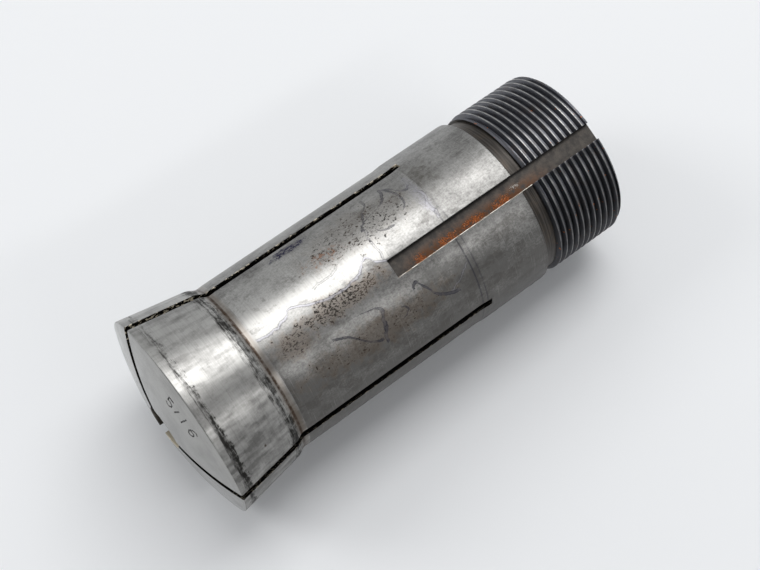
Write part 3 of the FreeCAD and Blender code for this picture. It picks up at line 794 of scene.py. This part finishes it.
# ---------------------------------------------------------------- operators
class COLLET_OT_collet(bpy.types.Operator):
    """Makes the collet in worn ground steel in place of the plain solid"""
    bl_idname = "collet.make_collet"
    bl_label = "Make Collet"

    def execute(self, context):
        sizes, colours = context.scene.collet_sizes, context.scene.collet_colours
        columns = column_plan(sizes)
        roles = [c[3] for c in columns]
        nominal = np.array([float(column_angle(c, np.array(15.7))) for c in columns])
        section = collet_section(nominal, sizes)
        radius, height, normal = section.arrays()
        rows, count = radius.shape
        outer_rows = section.finish.index("bore")
        gap_role = {"slot_wall", "slot_mid"}

        # the worn edges: wall columns stand back from the surface where the slot or keyway runs
        for i, role in enumerate(roles):
            for j in range(rows):
                back = 0.0
                if role in gap_role and height[j, i] > SLOT_START - NEARLY:
                    back = sizes.edge * section.edge[j]
                    if role == "slot_mid" and height[j, i] > SLOT_START + NEARLY:
                        back = 0.0
                elif role in ("key_wall", "floor") and j < outer_rows and height[j, i] < KEY_END + NEARLY:
                    back = sizes.key_edge * 0.5
                radius[j, i] -= back * normal[j, i, 0]
                if abs(height[j, i] - SLOT_START) > NEARLY:
                    height[j, i] -= back * normal[j, i, 1]

        angle = np.stack([column_angle(c, radius[:, i]) for i, c in enumerate(columns)], axis=1)
        x = radius * np.sin(np.radians(angle))
        y = -radius * np.cos(np.radians(angle))
        verts = np.stack([x, y, height], axis=-1).reshape(-1, 3)
        faces, finishes = [], []

        def at(j, i):
            return j % rows * count + i

        def add(face, finish):
            faces.append(face)
            finishes.append(FINISHES.index(finish))

        gap_cell = [roles[i] in gap_role and roles[i + 1] in gap_role for i in range(count - 1)]
        floor_roles = ("floor", "key_wall")
        key_cell = [roles[i] in floor_roles and roles[i + 1] in floor_roles for i in range(count - 1)]
        edges = ({"slot_edge", "slot_wall"}, {"key_edge", "key_wall"})
        edge_cell = [{roles[i], roles[i + 1]} in edges for i in range(count - 1)]
        mean = height.mean(axis=1)
        for j in range(rows - 1):
            finish = section.finish[j]
            middle = (mean[j] + mean[j + 1]) / 2
            outer = j < outer_rows
            for i in range(count - 1):
                if gap_cell[i] and middle > SLOT_START:
                    continue
                if key_cell[i] and outer and middle < KEY_END:
                    continue
                kind = finish
                if edge_cell[i] and outer:
                    slot_side = "slot_edge" in (roles[i], roles[i + 1])
                    by_slot = slot_side and middle > SLOT_START
                    if by_slot or (not slot_side and middle < KEY_END and finish != "thread"):
                        kind = "slot" if slot_side else "edge" if i > count / 2 else "keyway"
                add((at(j, i), at(j, i + 1), at(j + 1, i + 1), at(j + 1, i)), kind)

        # walls and ends of the three slots
        start_out = next(j for j in range(rows) if abs(mean[j] - SLOT_START) < 1e-3)
        start_in = max(j for j in range(rows) if abs(mean[j] - SLOT_START) < 1e-3)
        walls = [i for i, role in enumerate(roles) if role == "slot_wall"]
        for i in walls:
            add([at(j, i) for j in range(start_out, start_in + 1)], "slot")
        for left, right in zip(walls[::2], walls[1::2]):
            there, back = range(left, right + 1), range(right, left - 1, -1)
            add([at(start_out, i) for i in there] + [at(start_in, i) for i in back], "slot")

        # the keyway's floor, sides and end
        end_row = next(j for j in range(rows) if abs(mean[j] - KEY_END) < 1e-3)
        first = [i for i, role in enumerate(roles) if role in floor_roles]
        extra = []
        floor_at = {}
        for i in first:
            across = columns[i][0][1]
            for z in (0.0, KEY_END):
                floor_at[i, z] = len(verts) + len(extra)
                extra.append((across, -KEY_FLOOR, z))
        verts = np.vstack([verts, np.array(extra)])
        for i in first:
            if roles[i] == "key_wall":
                add([at(j, i) for j in range(0, end_row + 1)] + [floor_at[i, KEY_END], floor_at[i, 0.0]], "keyway")
        for i in range(count - 1):
            if key_cell[i]:
                add((floor_at[i, 0.0], floor_at[i + 1, 0.0], floor_at[i + 1, KEY_END], floor_at[i, KEY_END]), "keyway")
                add((floor_at[i, KEY_END], floor_at[i + 1, KEY_END], at(end_row, i + 1), at(end_row, i)), "keyway")

        # rear face
        last = rows - 1
        for i in range(count - 1):
            if key_cell[i]:
                add((floor_at[i, 0.0], floor_at[i + 1, 0.0], at(last, i + 1), at(last, i)), "rear")
            elif roles[i] == "key_wall":
                add((at(0, i), at(0, i + 1), at(last, i + 1), at(last, i), floor_at[i, 0.0]), "rear")
            elif roles[i + 1] == "key_wall":
                add((at(0, i), at(0, i + 1), floor_at[i + 1, 0.0], at(last, i + 1), at(last, i)), "rear")
            else:
                add((at(0, i), at(0, i + 1), at(last, i + 1), at(last, i)), "rear")

        mesh = bpy.data.meshes.new("collet_body")
        mesh.from_pydata((verts * MM).tolist(), [], faces)
        mesh.polygons.foreach_set("material_index", finishes)
        bm = bmesh.new()
        bm.from_mesh(mesh)
        bmesh.ops.remove_doubles(bm, verts=bm.verts, dist=3e-6)
        loose = [v for v in bm.verts if not v.link_faces]
        bmesh.ops.delete(bm, geom=loose, context="VERTS")
        press_stamp(bm, sizes.stamp_depth)
        bmesh.ops.recalc_face_normals(bm, faces=bm.faces)
        open_edges = sum(1 for e in bm.edges if len(e.link_faces) != 2)
        bm.to_mesh(mesh)
        bm.free()
        if open_edges:
            raise RuntimeError(f"the collet's skin has {open_edges} open edges")
        mesh.shade_smooth()
        mesh.set_sharp_from_angle(angle=math.radians(24))

        piece = bpy.data.objects.new("collet_body", mesh)
        context.scene.collection.objects.link(piece)
        finish = {"thread": blackened_thread(colours), "relief": turned_relief(colours),
            "bearing": ground_body(colours)}
        finish["body"] = finish["bearing"]
        finish["neck"] = finish["taper"] = ground_taper(colours)
        finish["face"] = polished_face(colours)
        finish["bore"] = finish["hollow"] = bored_inside(colours)
        finish["rear"] = turned_rear(colours)
        finish["slot"] = sawn_slot(colours)
        finish["keyway"] = milled_keyway(colours)
        finish["edge"] = broken_edge(colours)
        for name in FINISHES:
            mesh.materials.append(finish[name])
        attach(piece, "root")
        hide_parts("collet")
        return {"FINISHED"}


# The camera that took the photograph, fitted to the collet: its place in mm and its axes.
EYE = Vector((-0.528, -236.115, 106.128))
RIGHT = Vector((-0.57014, -0.21780, -0.79215))
UP = Vector((0.82154, -0.14915, -0.55029))
AHEAD = Vector((-0.00170, 0.96453, -0.26397))
LENS = 68.380


class COLLET_OT_stage(bpy.types.Operator):
    """Makes the plain ground, the soft light and the camera"""
    bl_idname = "collet.make_stage"
    bl_label = "Make Stage"

    def execute(self, context):
        stage = context.scene.collet_stage
        # the ground touches the rim of the head and the end of the thread
        away = Vector((0.356, -0.934, 0)).normalized()
        top, foot = -away * HEAD_RIM + Vector((0, 0, 82)), -away * 15.73 + Vector((0, 0, 0.65))
        along = (top - foot).normalized()
        across = away.cross(along).normalized()
        facing = along.cross(across).normalized()
        if facing.dot(away) < 0:
            facing = -facing
        size = 1500.0
        middle = (top + foot) / 2 - facing * 0.05
        corners = [middle + along * size * a + across * size * b for a, b in ((-1, -1), (1, -1), (1, 1), (-1, 1))]
        mesh = bpy.data.meshes.new("ground")
        mesh.from_pydata([tuple(c * MM) for c in corners], [], [(0, 1, 2, 3)])
        if Vector(mesh.polygons[0].normal).dot(facing) < 0:
            mesh.flip_normals()
        ground = bpy.data.objects.new("ground", mesh)
        context.scene.collection.objects.link(ground)
        paper = bpy.data.materials.new("matt_paper_ground")
        paper.use_nodes = True
        tree = paper.node_tree
        tree.nodes.clear()
        out = node(tree, "OutputMaterial")
        matt = node(tree, "BsdfDiffuse", {"Color": stage.floor})
        clear = node(tree, "BsdfTransparent")
        behind = node(tree, "NewGeometry").outputs["Backfacing"]
        both = node(tree, "MixShader", {0: behind, 1: matt.outputs[0], 2: clear.outputs[0]})
        tree.links.new(both.outputs[0], out.inputs["Surface"])
        mesh.materials.append(paper)

        world = bpy.data.worlds.new("soft_room")
        world.use_nodes = True
        context.scene.world = world
        tree = world.node_tree
        tree.nodes.clear()
        # a white tent, open and dim on the photographer's side
        look = node(tree, "TexCoord").outputs["Generated"]
        facing_us = node(tree, "VectorMath", {0: look, 1: tuple(-AHEAD.normalized())},
            operation="DOT_PRODUCT").outputs["Value"]
        tent = node(tree, "Mix", {0: node(tree, "MapRange", [facing_us, 0.25, 0.85]), 6: stage.surround, 7: stage.room})
        sky = node(tree, "Background", {"Color": tent, "Strength": 1.0})
        tree.links.new(sky.outputs[0], node(tree, "OutputWorld").inputs["Surface"])

        aim = Vector((0, 0, 42))

        def lamp(name, towards, distance, width, length, power):
            data = bpy.data.lights.new(name, "AREA")
            data.shape, data.size, data.size_y, data.energy = "RECTANGLE", width * MM, length * MM, power
            thing = bpy.data.objects.new(name, data)
            place = aim + towards.normalized() * distance
            facing_aim = (place - aim).to_track_quat("Z", "Y").to_matrix().to_4x4()
            thing.matrix_world = Matrix.Translation(place * MM) @ facing_aim
            context.scene.collection.objects.link(thing)

        lamp("key_light", UP * 0.65 + RIGHT * 0.13 - AHEAD * 0.70, 600, 320, 480, stage.key)
        lamp("fill_light", RIGHT * 0.67 - UP * 0.15 - AHEAD * 0.74, 700, 45, 400, stage.fill)
        lamp("side_light", UP * 0.3 - RIGHT * 0.79 - AHEAD * 0.55, 600, 200, 200, stage.side)

        data = bpy.data.cameras.new("camera")
        data.sensor_width, data.lens = 36.0, LENS
        data.clip_start, data.clip_end = 0.01, 20
        camera = bpy.data.objects.new("camera", data)
        turn = Matrix((RIGHT, UP, -AHEAD)).transposed()
        camera.matrix_world = Matrix.Translation(EYE * MM) @ turn.to_4x4()
        context.scene.collection.objects.link(camera)
        context.scene.camera = camera
        context.scene.view_settings.view_transform = "Standard"
        return {"FINISHED"}


class COLLET_PT_panel(bpy.types.Panel):
    """Lists what can be changed, and the buttons that make the collet and its stage"""
    bl_label = "Collet"
    bl_idname = "COLLET_PT_panel"
    bl_space_type = "VIEW_3D"
    bl_region_type = "UI"
    bl_category = "Collet"

    def draw(self, context):
        layout = self.layout
        for group in (context.scene.collet_sizes, context.scene.collet_colours, context.scene.collet_stage):
            box = layout.box()
            for name in group.bl_rna.properties.keys():
                if name not in ("rna_type", "name"):
                    box.prop(group, name)
        layout.operator("collet.make_collet")
        layout.operator("collet.make_stage")


CLASSES = (ColletSizes, ColletColours, StageSettings, COLLET_OT_collet, COLLET_OT_stage, COLLET_PT_panel)


def register():
    for cls in CLASSES:
        bpy.utils.register_class(cls)
    bpy.types.Scene.collet_sizes = bpy.props.PointerProperty(type=ColletSizes)
    bpy.types.Scene.collet_colours = bpy.props.PointerProperty(type=ColletColours)
    bpy.types.Scene.collet_stage = bpy.props.PointerProperty(type=StageSettings)


def unregister():
    del bpy.types.Scene.collet_stage, bpy.types.Scene.collet_colours, bpy.types.Scene.collet_sizes
    for cls in reversed(CLASSES):
        bpy.utils.unregister_class(cls)


def main():
    register()
    bpy.ops.collet.make_collet()
    bpy.ops.collet.make_stage()


if __name__ == "__main__":
    main()
